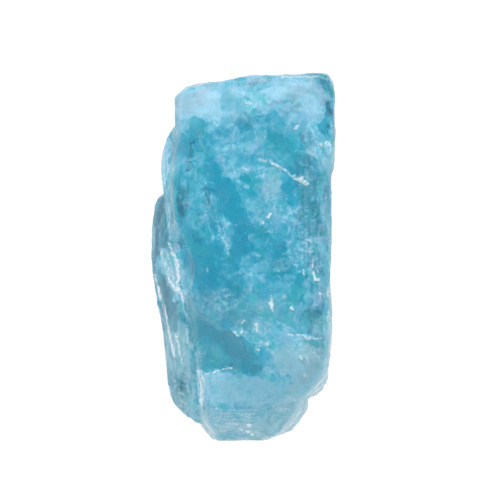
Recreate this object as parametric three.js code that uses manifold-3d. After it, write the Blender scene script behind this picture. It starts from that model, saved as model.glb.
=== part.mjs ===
// A rough apatite crystal: one broken, pale blue prism lying on its flat back face.
// Units are millimetres. +Y runs along the crystal, +X across it and +Z up, away from the face it rests on.
// The origin is under the middle of the stone, in the plane of that face.
import * as THREE from "three";
import Module from "manifold-3d";
import { ConvexGeometry } from "three/addons/geometries/ConvexGeometry.js";
import { ImprovedNoise } from "three/addons/math/ImprovedNoise.js";
import { TessellateModifier } from "three/addons/modifiers/TessellateModifier.js";
import { mergeVertices } from "three/addons/utils/BufferGeometryUtils.js";

// ---- Driving dimensions: the finished stone is fitted to these ----
const LENGTH = 36.9; // tip to tip, along Y
const WIDTH = 18.5; // from the flake's edge to the right prism face, along X
const THICKNESS = 12.9; // from the rest face to the highest point of the front, along Z

// ---- Surface ----
const FRONT = 13; // height of the front plane before anything is worn or broken off it
const FACET = 2.1; // longest triangle edge on the worn faces
const SWELL = { length: 4.5, height: 0.34 }; // growth and etching leave the faces slightly wavy
const HACKLE = { length: 1.5, height: 0.3 }; // and fractures are rough
const STRETCH = 2; // the swell is this much longer along the crystal
const WEAR = 0.4; // share of the way that wear moves a corner towards its neighbours
const WALL_LEAN = 0.55; // how far the wall of a ledge leans out for each millimetre it rises
const BOWL = 9; // radius, through the surface, of the bowl that leaves a shell-shaped scar
const BOWL_FACET = 2.6; // triangle size inside a scar
const WELD = 1e-4;

const wasm = await Module();
wasm.setup();
const noise = new ImprovedNoise();
const random = THREE.MathUtils.seededRandom;
const vector = (p) => new THREE.Vector3(...p);
const UP = vector([0, 0, 1]);

// ---- Solids from geometries, and back ----
function weld(geometry) {
  const bare = geometry.index ? geometry.toNonIndexed() : geometry.clone();
  bare.deleteAttribute("normal");
  bare.deleteAttribute("uv");
  return mergeVertices(bare, WELD);
}

function toSolid(geometry) {
  const welded = weld(geometry);
  return new wasm.Manifold(
    new wasm.Mesh({
      numProp: 3,
      vertProperties: welded.attributes.position.array,
      triVerts: new Uint32Array(welded.index.array),
    }),
  );
}

function toGeometry(solid) {
  const mesh = solid.getMesh();
  return new THREE.BufferGeometry()
    .setAttribute("position", new THREE.BufferAttribute(mesh.vertProperties, 3))
    .setIndex(new THREE.BufferAttribute(mesh.triVerts, 1));
}

const joined = (solids) => solids.reduce((all, solid) => all.add(solid));
const without = (solid, cutters) => cutters.reduce((left, cutter) => left.subtract(cutter), solid);

// Keeps what lies behind a face, given by its outward direction and one point on it.
function cutFace(solid, [out, at]) {
  const normal = vector(out).normalize();
  return solid.trimByPlane(normal.clone().negate().toArray(), -normal.dot(vector(at)));
}

// The convex solid that a list of corner points spans.
const hull = (points) => toSolid(new ConvexGeometry(points.map(vector)));

// ---- Wear and waves, on the corners of a welded geometry ----
// Moves every corner part of the way to the middle of its neighbours, which rounds the edges.
function worn(geometry) {
  const place = geometry.attributes.position;
  const triangles = geometry.index.array;
  const sums = Array.from({ length: place.count }, () => new THREE.Vector4(0, 0, 0, 0));
  triangles.forEach((corner, i) => {
    const next = triangles[i % 3 === 2 ? i - 2 : i + 1];
    sums[corner].add(new THREE.Vector4(place.getX(next), place.getY(next), place.getZ(next), 1));
  });
  sums.forEach((sum, i) => {
    const middle = new THREE.Vector3(sum.x, sum.y, sum.z).divideScalar(sum.w);
    const corner = new THREE.Vector3().fromBufferAttribute(place, i);
    place.setXYZ(i, ...corner.lerp(middle, WEAR));
  });
  return geometry;
}

// Moves every corner by a wave that depends only on where the corner is.
function waved(geometry, { length, height }, stretch = 1) {
  const place = geometry.attributes.position;
  for (let i = 0; i < place.count; i++) {
    const p = new THREE.Vector3().fromBufferAttribute(place, i);
    const [x, y, z] = [p.x / length, p.y / length / stretch, p.z / length];
    p.x += height * noise.noise(x, y, z);
    p.y += height * noise.noise(x + 7, y, z);
    p.z += height * noise.noise(x, y + 7, z);
    place.setXYZ(i, ...p);
  }
  return geometry;
}

// ---- Cutters ----
// A block breaks off a corner.
function block({ at, size, turn }) {
  const matrix = new THREE.Matrix4()
    .makeRotationFromEuler(new THREE.Euler(...turn.map(THREE.MathUtils.degToRad), "ZYX"))
    .setPosition(...at);
  return toSolid(new THREE.BoxGeometry(...size).applyMatrix4(matrix));
}

// A ledge takes away what lies over a sloping floor, inside a convex outline in the plane of the front.
// Its walls start `deep` below that plane and lean outwards as they rise.
function ledge({ outline, out, at, deep = 3 }) {
  const corners = outline.map(([x, y]) => new THREE.Vector2(x, y));
  const middle = corners.reduce((sum, corner) => sum.clone().add(corner)).divideScalar(corners.length);
  const ring = (rise) =>
    corners.map((corner) => {
      const spoke = corner.clone().sub(middle);
      spoke.setLength(spoke.length() + WALL_LEAN * rise).add(middle);
      return [spoke.x, spoke.y, FRONT + rise];
    });
  return cutFace(hull([...ring(-deep), ...ring(3)]), [out.map((value) => -value), at]);
}

// A scar is the shallow bowl of a shell-shaped fracture, deepest under `at`.
// Its `size` is half its width and half its length.
function scar({ at, out, size, depth, spin = 0 }) {
  const up = vector(out).normalize();
  const spread = Math.sqrt(1 - (1 - depth / BOWL) ** 2);
  const radii = new THREE.Vector3(size[0] / spread, size[1] / spread, BOWL);
  const place = new THREE.Matrix4().compose(
    vector(at).addScaledVector(up, BOWL - depth),
    new THREE.Quaternion()
      .setFromUnitVectors(UP, up)
      .multiply(new THREE.Quaternion().setFromAxisAngle(UP, spin)),
    radii,
  );
  const detail = Math.ceil(Math.max(radii.x, radii.y) / BOWL_FACET);
  return toSolid(waved(new THREE.IcosahedronGeometry(1, detail).applyMatrix4(place), HACKLE));
}

const tilted = (out, amount) => out.map((value) => value + amount * (random() - 0.5));

// A field of broad scars that meet in ridges, over the parallelogram that two sides span.
function field({ corner, along, across, rows, columns, out, size = 3.4, depth = 0.42, seed }) {
  random(seed);
  return Array.from({ length: rows * columns }, (_, i) => {
    const row = (Math.floor(i / columns) + 0.2 + 0.6 * random()) / rows;
    const column = ((i % columns) + 0.2 + 0.6 * random()) / columns;
    const at = vector(corner).addScaledVector(vector(along), row).addScaledVector(vector(across), column);
    return scar({
      at: at.toArray(),
      out: tilted(out, 0.2),
      size: [size * (0.6 + 0.5 * random()), size * (0.8 + 0.8 * random())],
      depth: depth * (0.6 + 0.8 * random()),
      spin: Math.PI * random(),
    });
  });
}

// A row of chips, or of pits where `size` is small. They stray from the row by up to half of `spread`.
function chips({ from, to, out, count, size = 1, spread = 0, seed }) {
  random(seed);
  return Array.from({ length: count }, (_, i) => {
    const stray = [spread * (random() - 0.5), spread * (random() - 0.5), 0];
    const at = vector(from).lerp(vector(to), (i + random()) / count).add(vector(stray));
    return scar({
      at: at.toArray(),
      out: tilted(out, 0.7),
      size: [size * (0.5 + 0.9 * random()), size * (0.7 + 1.6 * random())],
      depth: size * (0.2 + 0.45 * random()),
      spin: Math.PI * random(),
    });
  });
}

// ---- The main prism: each face is [outward direction, a point on it] ----
const FRONT_FACES = [
  [[0.02, 0.02, 1], [0, 0, 12.95]], // the level middle
  [[-0.17, 0.02, 0.98], [-3.6, 0, 12.95]], // the sides fall away a little
  [[0.13, -0.05, 0.98], [4.6, -3, 12.9]],
  [[-0.12, 0.26, 0.95], [-1, 12.6, 12.85]], // the sloping top
  [[0.35, 0.1, 0.93], [6.6, 14, 12.5]],
  [[-0.185, -0.338, 1], [2.55, -12.05, 11.9]], // the smooth facet above the bottom end
];
const SIDE_FACES = [
  [[0.96, -0.02, 0.28], [8.85, 5, 11.9]], // right, front to back
  [[1, -0.006, 0], [9.5, 14, 6]],
  [[0.84, -0.02, -0.54], [9.1, 0, 4.6]],
  [[-0.95, 0.09, 0.3], [-7.15, 12, 9]], // left
  [[-0.96, 0.09, -0.25], [-7.15, 12, 8]],
  [[-0.93, -0.19, 0.32], [-6.5, 0, 10]],
  [[-0.8, 0, -0.6], [-7.6, 0, 4.5]],
];
const END_FACES = [
  [[-0.165, 0.98, 0], [3, 18.4, 8.5]], // top
  [[0.02, 0.99, 0.02], [6, 18.4, 9]],
  [[0.05, 0.8, 0.6], [6, 18.2, 11.2]],
  [[0.1, 0.93, -0.36], [0, 18.5, 6.5]],
  [[-0.25, 0.8, -0.55], [-2, 16.6, 3]],
  [[-0.6, 0.8, 0.05], [-6.3, 16.4, 9]],
  [[-0.93, 0.36, 0.05], [-7.15, 15.8, 9]],
  [[0.6, 0.8, 0.1], [9.05, 18.2, 8]],
  [[0.9, 0.42, 0.1], [9.5, 17.1, 8]],
  [[0.12, -0.7, 0.7], [0, -16, 10.4]], // bottom
  [[0.04, -0.95, -0.3], [0, -18.95, 6]],
  [[0.3, -0.92, 0.2], [3.2, -17.95, 6.5]],
  [[0.74, -0.65, 0.12], [8.55, -12.75, 6]],
  [[0.5, -0.85, 0.1], [4.6, -17.15, 6]],
  [[-0.8, -0.6, 0.1], [-3.2, -17.6, 6]],
];

// ---- Layers that stand out beside the main prism, as corner points ----
const SHOULDER_LAYER = [
  [-6.9, 13.4, 7], [-7.9, 12.2, 7.4], [-8.3, 10.6, 7.6], [-8.3, 9.1, 7.6], [-7.95, 7.6, 7.4],
  [-7.5, 6, 7.2], [-7.2, 2, 7.2], [-6.3, 12.6, 9.4], [-6.95, 8.8, 10.1], [-6.6, 3, 9.8],
  [-6.2, 12.4, 3], [-7.3, 9, 3.4], [-7, 3, 3], [-3, 8, 0], [0, 12, 2], [0, 2, 2], [0, 6, 9],
];
const LEFT_FLAKE = [
  [-8.1, 6.6, 5.6], [-9.1, 6, 5.2], [-9.55, 3.9, 5], [-9.65, 1.4, 4.9], [-9.2, -1.4, 5],
  [-8.3, -4.9, 5.2], [-7.55, -8, 5.4], [-7.4, -11, 5.2], [-7.5, -13.9, 5], [-7.4, -14.9, 5],
  [-6, -15.8, 5], [-4.5, -17, 5.2], [-7.5, 4.8, 7.4], [-6.9, 0, 9.4], [-6.1, -5, 9.9],
  [-5.2, -10, 9.6], [-4.6, -14.5, 8.2], [-8, 4.4, 2.4], [-8.2, -1, 1.6], [-7.2, -8, 1.6],
  [-6.2, -13.6, 1.8], [-4.6, -15.4, 2.4], [-6, 0, 0], [-5.2, -10, 0], [0, -13, 1], [0, 3, 1],
  [0, -12, 7], [0, 2, 7],
];
const RIGHT_PLATE = [
  [8.7, -0.6, 9.2], [9.15, -3, 8.6], [9.35, -4.6, 8.4], [9.3, -6.4, 8.2], [9.1, -10.8, 8.8],
  [8.5, -1, 5.2], [8.95, -3.4, 5.4], [9, -5.6, 5], [8.7, -9.6, 4.8], [6, -4, 10], [6, -4, 4],
];

// ---- Old breaks, worn with the rest of the stone ----
// The right side steps in below the broad top.
const RIGHT_STEP = block({ at: [10.05, -7, 5], size: [2, 31, 30], turn: [0, 0, -0.15] });

// Broad scars that roughen each side of the prism.
const OLD_SCARS = [
  {
    corner: [-6.4, -5, 12.5], along: [0, 20, 0], across: [3.8, 0, 0.5],
    rows: 5, columns: 1, out: [-0.17, 0, 1], seed: 5,
  },
  {
    corner: [-2.6, -6, 13], along: [0, 20, 0], across: [6.6, 0, 0],
    rows: 5, columns: 2, out: [0, 0, 1], seed: 8,
  },
  {
    corner: [4, -13, 12.8], along: [0, 29, 0], across: [4.4, 0, -0.6],
    rows: 7, columns: 1, out: [0.14, 0, 1], seed: 13,
  },
  {
    corner: [9.25, -13, 2], along: [0.7, 29, 0], across: [0, 0, 9],
    rows: 5, columns: 2, out: [1, 0, 0], depth: 0.36, seed: 21,
  },
  {
    corner: [-7.2, 5, 2], along: [0, 10, 0], across: [0, 0, 8],
    rows: 2, columns: 2, out: [-1, 0, 0], seed: 34,
  },
  {
    corner: [-6, 17.6, 2], along: [14, 1.7, 0], across: [0, 0, 8],
    rows: 3, columns: 2, out: [0, 1, 0], depth: 0.3, seed: 55,
  },
  {
    corner: [-4, -18.9, 1.5], along: [10, 0.8, 0], across: [0, 0, 5],
    rows: 3, columns: 1, out: [0, -1, 0], depth: 0.14, seed: 89,
  },
].flatMap(field);

const OLD_BREAKS = [
  // the hollow low on the front: three walls round a floor that falls to the lower left
  ledge({
    outline: [[-6.4, -4.7], [-4.75, -5.4], [-1.05, -6.9], [2.55, -12.05], [-3.85, -11.6], [-6.4, -12.2]],
    out: [-0.251, -0.195, 1],
    at: [-1.05, -6.9, 12],
  }),
  // steps across the bottom end
  ledge({
    outline: [[-5.5, -14.6], [-2.5, -14.7], [2, -14.5], [6.4, -13.9], [9, -19], [-6, -20]],
    out: [-0.1, -0.4, 0.91],
    at: [0, -14.6, 9.9],
  }),
  ledge({
    outline: [[-5, -16.3], [-0.5, -16.5], [3.4, -16], [6, -20], [-6, -21]],
    out: [0.05, -0.55, 0.83],
    at: [0, -16.5, 8.2],
    deep: 7,
  }),
  // the notch in the lower right corner
  block({ at: [9.05, -15.7, 6], size: [4.7, 4, 20], turn: [3, -7, 12] }),
  // the gap between the flake's foot and the main prism
  block({ at: [-5.8, -18.25, 6], size: [2.2, 3.4, 20], turn: [0, 4, -36] }),
  // a shallow hollow in the flake's thin left edge, and the long steps that lead down to it from its ridge
  scar({ at: [-8.45, -7.4, 5], out: [-1, -0.13, 0], size: [6, 5], depth: 0.55 }),
  ledge({
    outline: [[-8.2, 3], [-7.3, 2.6], [-6.4, -1], [-6, -4], [-6.9, -4.2], [-7.8, -1]],
    out: [-0.7, 0.1, 0.7],
    at: [-7.2, 0, 7.9],
    deep: 6,
  }),
  ledge({
    outline: [[-9.9, 1.4], [-8.5, 1.4], [-7.8, -2.4], [-6.9, -8], [-6.7, -12], [-9.4, -12]],
    out: [-0.35, 0, 0.94],
    at: [-8.3, -3, 5.7],
    deep: 8,
  }),
  ledge({
    outline: [[-7.2, -9.4], [-4.9, -8.6], [-4.3, -12], [-4.1, -18], [-8, -19]],
    out: [-0.45, -0.2, 0.87],
    at: [-5.4, -12, 7.4],
    deep: 6,
  }),
];

// ---- Fresh breaks, still sharp ----
const FRESH_BREAKS = [
  // the scar whose upper rim is the crack
  ledge({
    outline: [[1.3, 9.9], [2.75, 9.65], [4.4, 8.7], [6.3, 7.4], [5.2, 3.4], [0.8, 6]],
    out: [0.06, 0.095, 1],
    at: [4.2, 8.5, 12.35],
  }),
  // the diagonal trough
  ledge({
    outline: [[-3.9, 7.2], [-2.6, 4], [-1.45, 0.5], [-0.7, -1.4], [2.4, -0.6], [0.4, 5]],
    out: [-0.15, 0.03, 1],
    at: [-2.2, 2.8, 12.45],
  }),
  // the sunken strip beside the top right edge
  ledge({
    outline: [[6.1, 19], [6.5, 15.4], [6.1, 12.6], [11, 11.4], [11, 19]],
    out: [0.42, 0.2, 0.9],
    at: [6.4, 15, 12.15],
  }),
  // short steps on the lower right
  ledge({
    outline: [[4.8, -4.1], [7.6, -4.6], [9.4, -6.4], [5.4, -6.4]],
    out: [0.22, 0.16, 0.97],
    at: [6.2, -4.4, 12.2],
  }),
  ledge({
    outline: [[4.4, -7.1], [6.2, -7.8], [9.4, -8], [9.4, -13], [4, -11]],
    out: [0.2, 0.12, 0.97],
    at: [6.4, -7.8, 12.1],
  }),
  // two scars in the back
  scar({ at: [4.6, 10, 0], out: [0.1, 0, -1], size: [2.4, 4], depth: 0.4, spin: 0.3 }),
  scar({ at: [-4.6, -9, 0], out: [-0.1, 0, -1], size: [2, 4.4], depth: 0.4, spin: 0.2 }),
];

const CHIPS = [
  // chains of pits on the front: down the right side, and above the hollow
  {
    from: [5.9, 2.4, 12.5], to: [7.3, -3, 12.3],
    out: [0.15, 0, 1], count: 8, size: 0.45, spread: 0.8, seed: 3,
  },
  {
    from: [-1.4, -5.9, 12.7], to: [3.6, -8.2, 12.6],
    out: [0, 0, 1], count: 7, size: 0.5, spread: 1.2, seed: 17,
  },
  // the edges of the front
  {
    from: [8.6, 15, 12], to: [8.5, -12, 12],
    out: [0.8, 0, 0.6], count: 13, size: 0.8, seed: 11,
  },
  {
    from: [-5.8, 12, 12.3], to: [-5.2, -4, 12.3],
    out: [-0.7, 0, 0.7], count: 8, size: 0.7, seed: 23,
  },
  {
    from: [-5.4, 16.6, 11.4], to: [8, 18, 11.4],
    out: [0, 0.7, 0.7], count: 8, seed: 31,
  },
  // the flake's edge, the bottom end and the long edges of the back
  {
    from: [-9.3, 4, 5.2], to: [-7.6, -13, 5.2],
    out: [-1, 0, 0.3], count: 7, size: 0.5, seed: 47,
  },
  {
    from: [-2.8, -18.7, 7], to: [5, -18.1, 7],
    out: [0.1, -0.8, 0.6], count: 7, size: 0.8, seed: 59,
  },
  {
    from: [6.4, 16, 0], to: [6.2, -14, 0],
    out: [0.8, 0, -0.8], count: 9, seed: 67,
  },
  {
    from: [-5, 15, 0], to: [-4.6, -14, 0],
    out: [-0.8, 0, -0.8], count: 8, seed: 73,
  },
].flatMap(chips);

// ---- The stone ----
function makeStone() {
  const blank = toSolid(new THREE.BoxGeometry(WIDTH * 2, LENGTH * 2, FRONT * 4));
  const prism = [...FRONT_FACES, ...SIDE_FACES, ...END_FACES].reduce(cutFace, blank);
  const layers = [SHOULDER_LAYER, LEFT_FLAKE, RIGHT_PLATE].map(hull);
  const broken = without(joined([without(prism, [RIGHT_STEP, ...OLD_SCARS]), ...layers]), OLD_BREAKS);
  const fine = weld(new TessellateModifier(FACET, 14).modify(toGeometry(broken)));
  const weathered = toSolid(waved(worn(fine), SWELL, STRETCH));
  const restFace = [[0, 0, -1], [0, 0, 0]];
  return cutFace(without(weathered, [...FRESH_BREAKS, ...CHIPS]), restFace);
}

// Scales the stone to the driving dimensions and puts its middle over the origin.
function fitted(geometry) {
  geometry.computeBoundingBox();
  const size = geometry.boundingBox.getSize(new THREE.Vector3());
  const middle = geometry.boundingBox.getCenter(new THREE.Vector3());
  return geometry
    .translate(-middle.x, -middle.y, 0)
    .scale(WIDTH / size.x, LENGTH / size.y, THICKNESS / size.z);
}

const crystal = new THREE.Mesh(
  fitted(toGeometry(makeStone())),
  new THREE.MeshStandardMaterial({ color: 0x5fafc8, roughness: 0.3, metalness: 0 }),
);
crystal.name = "apatite_crystal";

const group = new THREE.Group();
group.add(crystal);
export default group;
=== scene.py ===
# %% [markdown]
# # A rough apatite crystal
# This lesson dresses one broken crystal of blue apatite. The real thing is a single stone, about 37 mm
# long: a blunt prism that lies on its flat back, with a thin layer and a thin flake grown onto its left
# side. The solid that this file starts from has its true size and its large breaks. What is added here is
# what an eye sees from a hand's width away: the fine relief of broken and etched crystal, the milky patches
# and the deep clear ones, the healed crack, the pits, and a clear, coloured body for light to travel
# through.

# %% Load the solid
import math

import bmesh
import bpy
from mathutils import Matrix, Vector, noise


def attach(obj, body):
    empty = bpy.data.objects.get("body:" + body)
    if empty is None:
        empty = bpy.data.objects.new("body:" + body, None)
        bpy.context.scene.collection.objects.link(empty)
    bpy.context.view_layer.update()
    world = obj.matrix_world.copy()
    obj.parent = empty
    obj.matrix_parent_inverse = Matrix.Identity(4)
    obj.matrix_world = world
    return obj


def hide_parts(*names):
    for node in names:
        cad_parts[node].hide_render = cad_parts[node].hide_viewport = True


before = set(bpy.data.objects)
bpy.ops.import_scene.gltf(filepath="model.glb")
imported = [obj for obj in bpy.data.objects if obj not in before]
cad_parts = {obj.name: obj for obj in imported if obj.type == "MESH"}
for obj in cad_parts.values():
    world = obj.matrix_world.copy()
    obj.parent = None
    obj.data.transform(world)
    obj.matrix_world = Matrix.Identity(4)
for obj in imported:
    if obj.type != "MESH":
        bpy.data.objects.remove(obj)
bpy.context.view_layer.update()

MM = 0.001


# %% [markdown]
# ## Even squares for fine relief
# The solid has about nine thousand large, flat triangles, and many of them are long slivers. Fine relief
# needs small, even faces to move. Subdividing would keep every sliver, so the surface is rebuilt by a voxel
# remesh instead, which lays even squares over the whole stone and closes it. The solid's triangles are
# loose, so their corners are welded first. The work is done in millimetres, because numbers such as 0.25
# are easier to read than 0.00025, and the stone is scaled back to metres at the end.

# %% Rebuild the surface in even squares
SQUARE = 0.25
WELD = 0.0001 * MM
scene = bpy.context.scene


def placed(name, data):
    """A new object in the scene."""
    thing = bpy.data.objects.new(name, data)
    scene.collection.objects.link(thing)
    return thing


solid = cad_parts["apatite_crystal"]
bm = bmesh.new()
bm.from_mesh(solid.data)
bmesh.ops.remove_doubles(bm, verts=bm.verts, dist=WELD)
bmesh.ops.scale(bm, vec=Vector((1, 1, 1)) / MM, verts=bm.verts)

stone = placed("rough_apatite", bpy.data.meshes.new("rough_apatite"))
bm.to_mesh(stone.data)
bm.free()

remesh = stone.modifiers.new("even squares", "REMESH")
remesh.mode = "VOXEL"
remesh.voxel_size = SQUARE
evaluated = stone.evaluated_get(bpy.context.evaluated_depsgraph_get())
even_mesh = bpy.data.meshes.new_from_object(evaluated)
stone.modifiers.clear()
stone.data = even_mesh
print("even squares:", len(even_mesh.polygons))

# %% [markdown]
# ## Wear, and finer squares where the eye goes
# Fresh breaks on a crystal are sharp, but a stone that has been handled has its ridges rounded by a tenth
# or two of a millimetre. A few rounds of smoothing do that, and they wipe out the stair steps that a voxel
# remesh leaves. The front then gets squares half as wide, because its relief is looked at closely, while
# the back lies on the table.

# %% Round the ridges and refine the front
SMOOTH_ROUNDS = 5
SMOOTH_SHARE = 0.5
SPLIT_ROUNDNESS = 0.5
FRONT_FROM = 4.0
FRONT_SLOPE = 0.25

bm = bmesh.new()
bm.from_mesh(stone.data)
every_way = {"use_axis_x": True, "use_axis_y": True, "use_axis_z": True}
for _ in range(SMOOTH_ROUNDS):
    bmesh.ops.smooth_vert(bm, verts=bm.verts, factor=SMOOTH_SHARE, **every_way)
bm.normal_update()
front = [f for f in bm.faces if f.normal.z > FRONT_SLOPE and f.calc_center_median().z > FRONT_FROM]
front_edges = {edge for face in front for edge in face.edges}
bmesh.ops.subdivide_edges(
    bm, edges=list(front_edges), cuts=1, use_grid_fill=True, smooth=SPLIT_ROUNDNESS
)
bm.normal_update()
print("corners:", len(bm.verts), "faces:", len(bm.faces))

# %% [markdown]
# ## Noise that belongs to the stone
# Everything irregular on this stone comes from noise that is read at a place in space. Noise in three
# dimensions runs round every edge without a seam, which an unwrapped picture could not do on a lump like
# this. Two helpers also move the place before it is read. Pushing it about makes a straight rim ragged.
# Drawing it to the middle of a small cell breaks a soft rim into flat, angular patches, the way that
# fractures end in a brittle crystal. The push takes its directions from the noise module's own seed, which
# would change from run to run, so the seed is fixed first.

# %% Helpers for noise
SEED = 3
noise.seed_set(SEED)


def smoothstep(low, high, value):
    share = min(1.0, max(0.0, (value - low) / (high - low)))
    return share * share * (3 - 2 * share)


def wave(p, length, stretch=(1, 1, 1), shift=0.0):
    """A smooth noise from -1 to 1 whose bumps are about `length` millimetres across."""
    spot = Vector((p.x / stretch[0], p.y / stretch[1], p.z / stretch[2])) / length
    return noise.noise(spot + Vector((shift, shift * 1.7, shift * 0.6)))


def pushed(p, length, reach):
    """The place, pushed about by up to `reach`."""
    return p + reach * noise.noise_vector(p / length)


def to_cell(p, size, share):
    """The place, drawn a share of the way to the middle of its cell."""
    return p.lerp(noise.voronoi(p / size)[1][0] * size, share)


middle_of_stone = Vector((0.0, 0.0, 12.0))
print("a wave 1.3 mm long at the middle of the front:", round(wave(middle_of_stone, 1.3), 3))

# %% [markdown]
# ## Brush strokes
# Most of what makes this stone itself sits at a place: a clear window, a milky patch, a white crack. No
# noise would put them there, so each is drawn as a brush stroke, a line of points with a half width, as one
# would mark up a sketch of the stone. Points are in millimetres from the middle of the stone, seen from the
# front. Each stroke has a name and a share, which says how strongly it counts. A class keeps the box that
# each stroke can reach, so that a corner far away skips it. That makes the lesson run in seconds and not in
# minutes.

# %% A brush
SOFT_FROM = 0.5
SOFT_TO = 1.4


def to_line(x, y, a, b):
    """The distance from a place to the straight leg between two points."""
    run = (b[0] - a[0], b[1] - a[1])
    length = run[0] ** 2 + run[1] ** 2
    share = 0.0 if length == 0 else ((x - a[0]) * run[0] + (y - a[1]) * run[1]) / length
    share = min(1.0, max(0.0, share))
    return math.hypot(x - a[0] - share * run[0], y - a[1] - share * run[1])


class Brush:
    """A set of strokes with the same effect, each kept with the box it can reach."""

    def __init__(self, strokes):
        self.strokes = []
        for points, width, share in strokes.values():
            reach = SOFT_TO * width
            across = [x for x, y in points]
            along = [y for x, y in points]
            box = (min(across) - reach, max(across) + reach, min(along) - reach, max(along) + reach)
            self.strokes.append((box, list(zip(points, points[1:])), width, share))

    def strength(self, p):
        """The share of the strongest stroke here, 0 where no stroke reaches."""
        best = 0.0
        for (left, right, low, high), legs, width, share in self.strokes:
            if left < p.x < right and low < p.y < high and share > best:
                away = min(to_line(p.x, p.y, a, b) for a, b in legs) / width
                best = max(best, share * (1 - smoothstep(SOFT_FROM, SOFT_TO, away)))
        return best


print("a stroke counts in full to", SOFT_FROM, "and fades out at", SOFT_TO, "times its half width")

# %% [markdown]
# ## Clear windows
# Where the crystal is sound, one looks deep into it and sees the strongest blue. The largest window is a
# band that slants from the upper left down to the middle. Others lie at the left shoulder, under the upper
# right corner, low on the left, and in the wide hollow near the foot. A wide, strong stroke makes a bold
# window and a thin one a glimpse.

# %% Strokes for the clear windows
CLEAR = {
    "shoulder": ([(-6.6, 10.8), (-4.4, 11.4)], 1.1, 0.75),
    "shoulder_to_band": ([(-4.3, 13.4), (-3.9, 11.5), (-3.2, 9.0)], 0.7, 0.7),
    "band": ([(-3.2, 8.8), (-2.2, 6.9), (-1.2, 5.2), (-0.2, 3.4), (-0.2, 0.8)], 1.0, 0.9),
    "left_rim": ([(-6.6, 7.0), (-6.3, 4.2)], 0.7, 0.85),
    "small_window": ([(0.5, 8.0), (0.7, 6.2)], 0.42, 0.9),
    "upper_right": ([(2.7, 12.1), (3.9, 11.3), (5.3, 10.0)], 0.8, 0.65),
    "under_upper_right": ([(5.2, 9.5), (4.7, 6.8), (5.3, 5.6)], 0.7, 0.6),
    "under_glint": ([(1.7, 2.6), (2.6, 2.2)], 0.7, 0.8),
    "right_window": ([(3.6, 1.0), (3.8, -1.2)], 0.9, 1.2),
    "middle_low": ([(1.6, 0.4), (2.4, -1.6)], 1.0, 0.5),
    "left_low": ([(-4.6, -0.2), (-3.4, -1.8)], 1.5, 1.1),
    "left_green": ([(-5.2, 2.2), (-3.4, 0.6)], 1.0, 0.8),
    "beside_blade": ([(-2.8, 3.6), (-2.4, 0.6)], 0.5, 0.9),
    "right_small": ([(5.7, -2.2), (5.3, -4.0)], 0.6, 0.5),
    "low_middle": ([(-2.2, -2.4), (-0.6, -2.8)], 0.8, 0.6),
    "low_pool": ([(-1.4, -0.6), (-0.6, -1.6)], 0.8, 0.6),
    "hollow": ([(-4.0, -7.0), (-1.8, -8.2), (0.6, -10.6)], 1.3, 0.75),
    "hollow_floor": ([(-3.6, -10.2), (-1.0, -10.2)], 1.0, 0.3),
    "right_edge": ([(7.0, 8.0), (7.0, 6.4), (7.2, 4.6)], 0.7, 0.15),
    "right_edge_low": ([(5.6, -5.8), (7.2, -5.6)], 0.7, 0.3),
    "under_left_ridge": ([(-5.2, -2.4), (-3.4, -3.4)], 0.8, 0.4),
    "flake_trough": ([(-7.6, -2.8), (-7.2, -4.2), (-6.9, -6.4)], 0.7, 1.3),
    "flake_left": ([(-8.6, 4.0), (-8.6, 0.6), (-8.2, -2.6)], 0.5, 0.45),
    "flake_top": ([(-8.0, 4.6), (-7.8, 2.2)], 0.5, 0.5),
    "top_small": ([(-0.6, 13.2), (0.8, 13.0)], 0.5, 0.5),
    "over_shoulder": ([(-2.6, 12.4), (-1.4, 11.9)], 0.5, 0.4),
    "top_middle": ([(-1.8, 15.5), (-0.2, 15.2)], 0.9, 0.5),
    "right_top_edge": ([(8.4, 14.6), (8.4, 12.8)], 0.5, 0.8),
}
clear_brush = Brush(CLEAR)
print("clear windows:", len(CLEAR))

# %% [markdown]
# ## Shaded places
# Some places look darker and greyer, because a wall there turns the light away or because light is caught
# under an edge. The main ones are the slanting wall of the hollow near the foot and the trough of the
# flake. Their form is in the solid already, and this tint helps it to read on a stone that is lit from all
# round.

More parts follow.
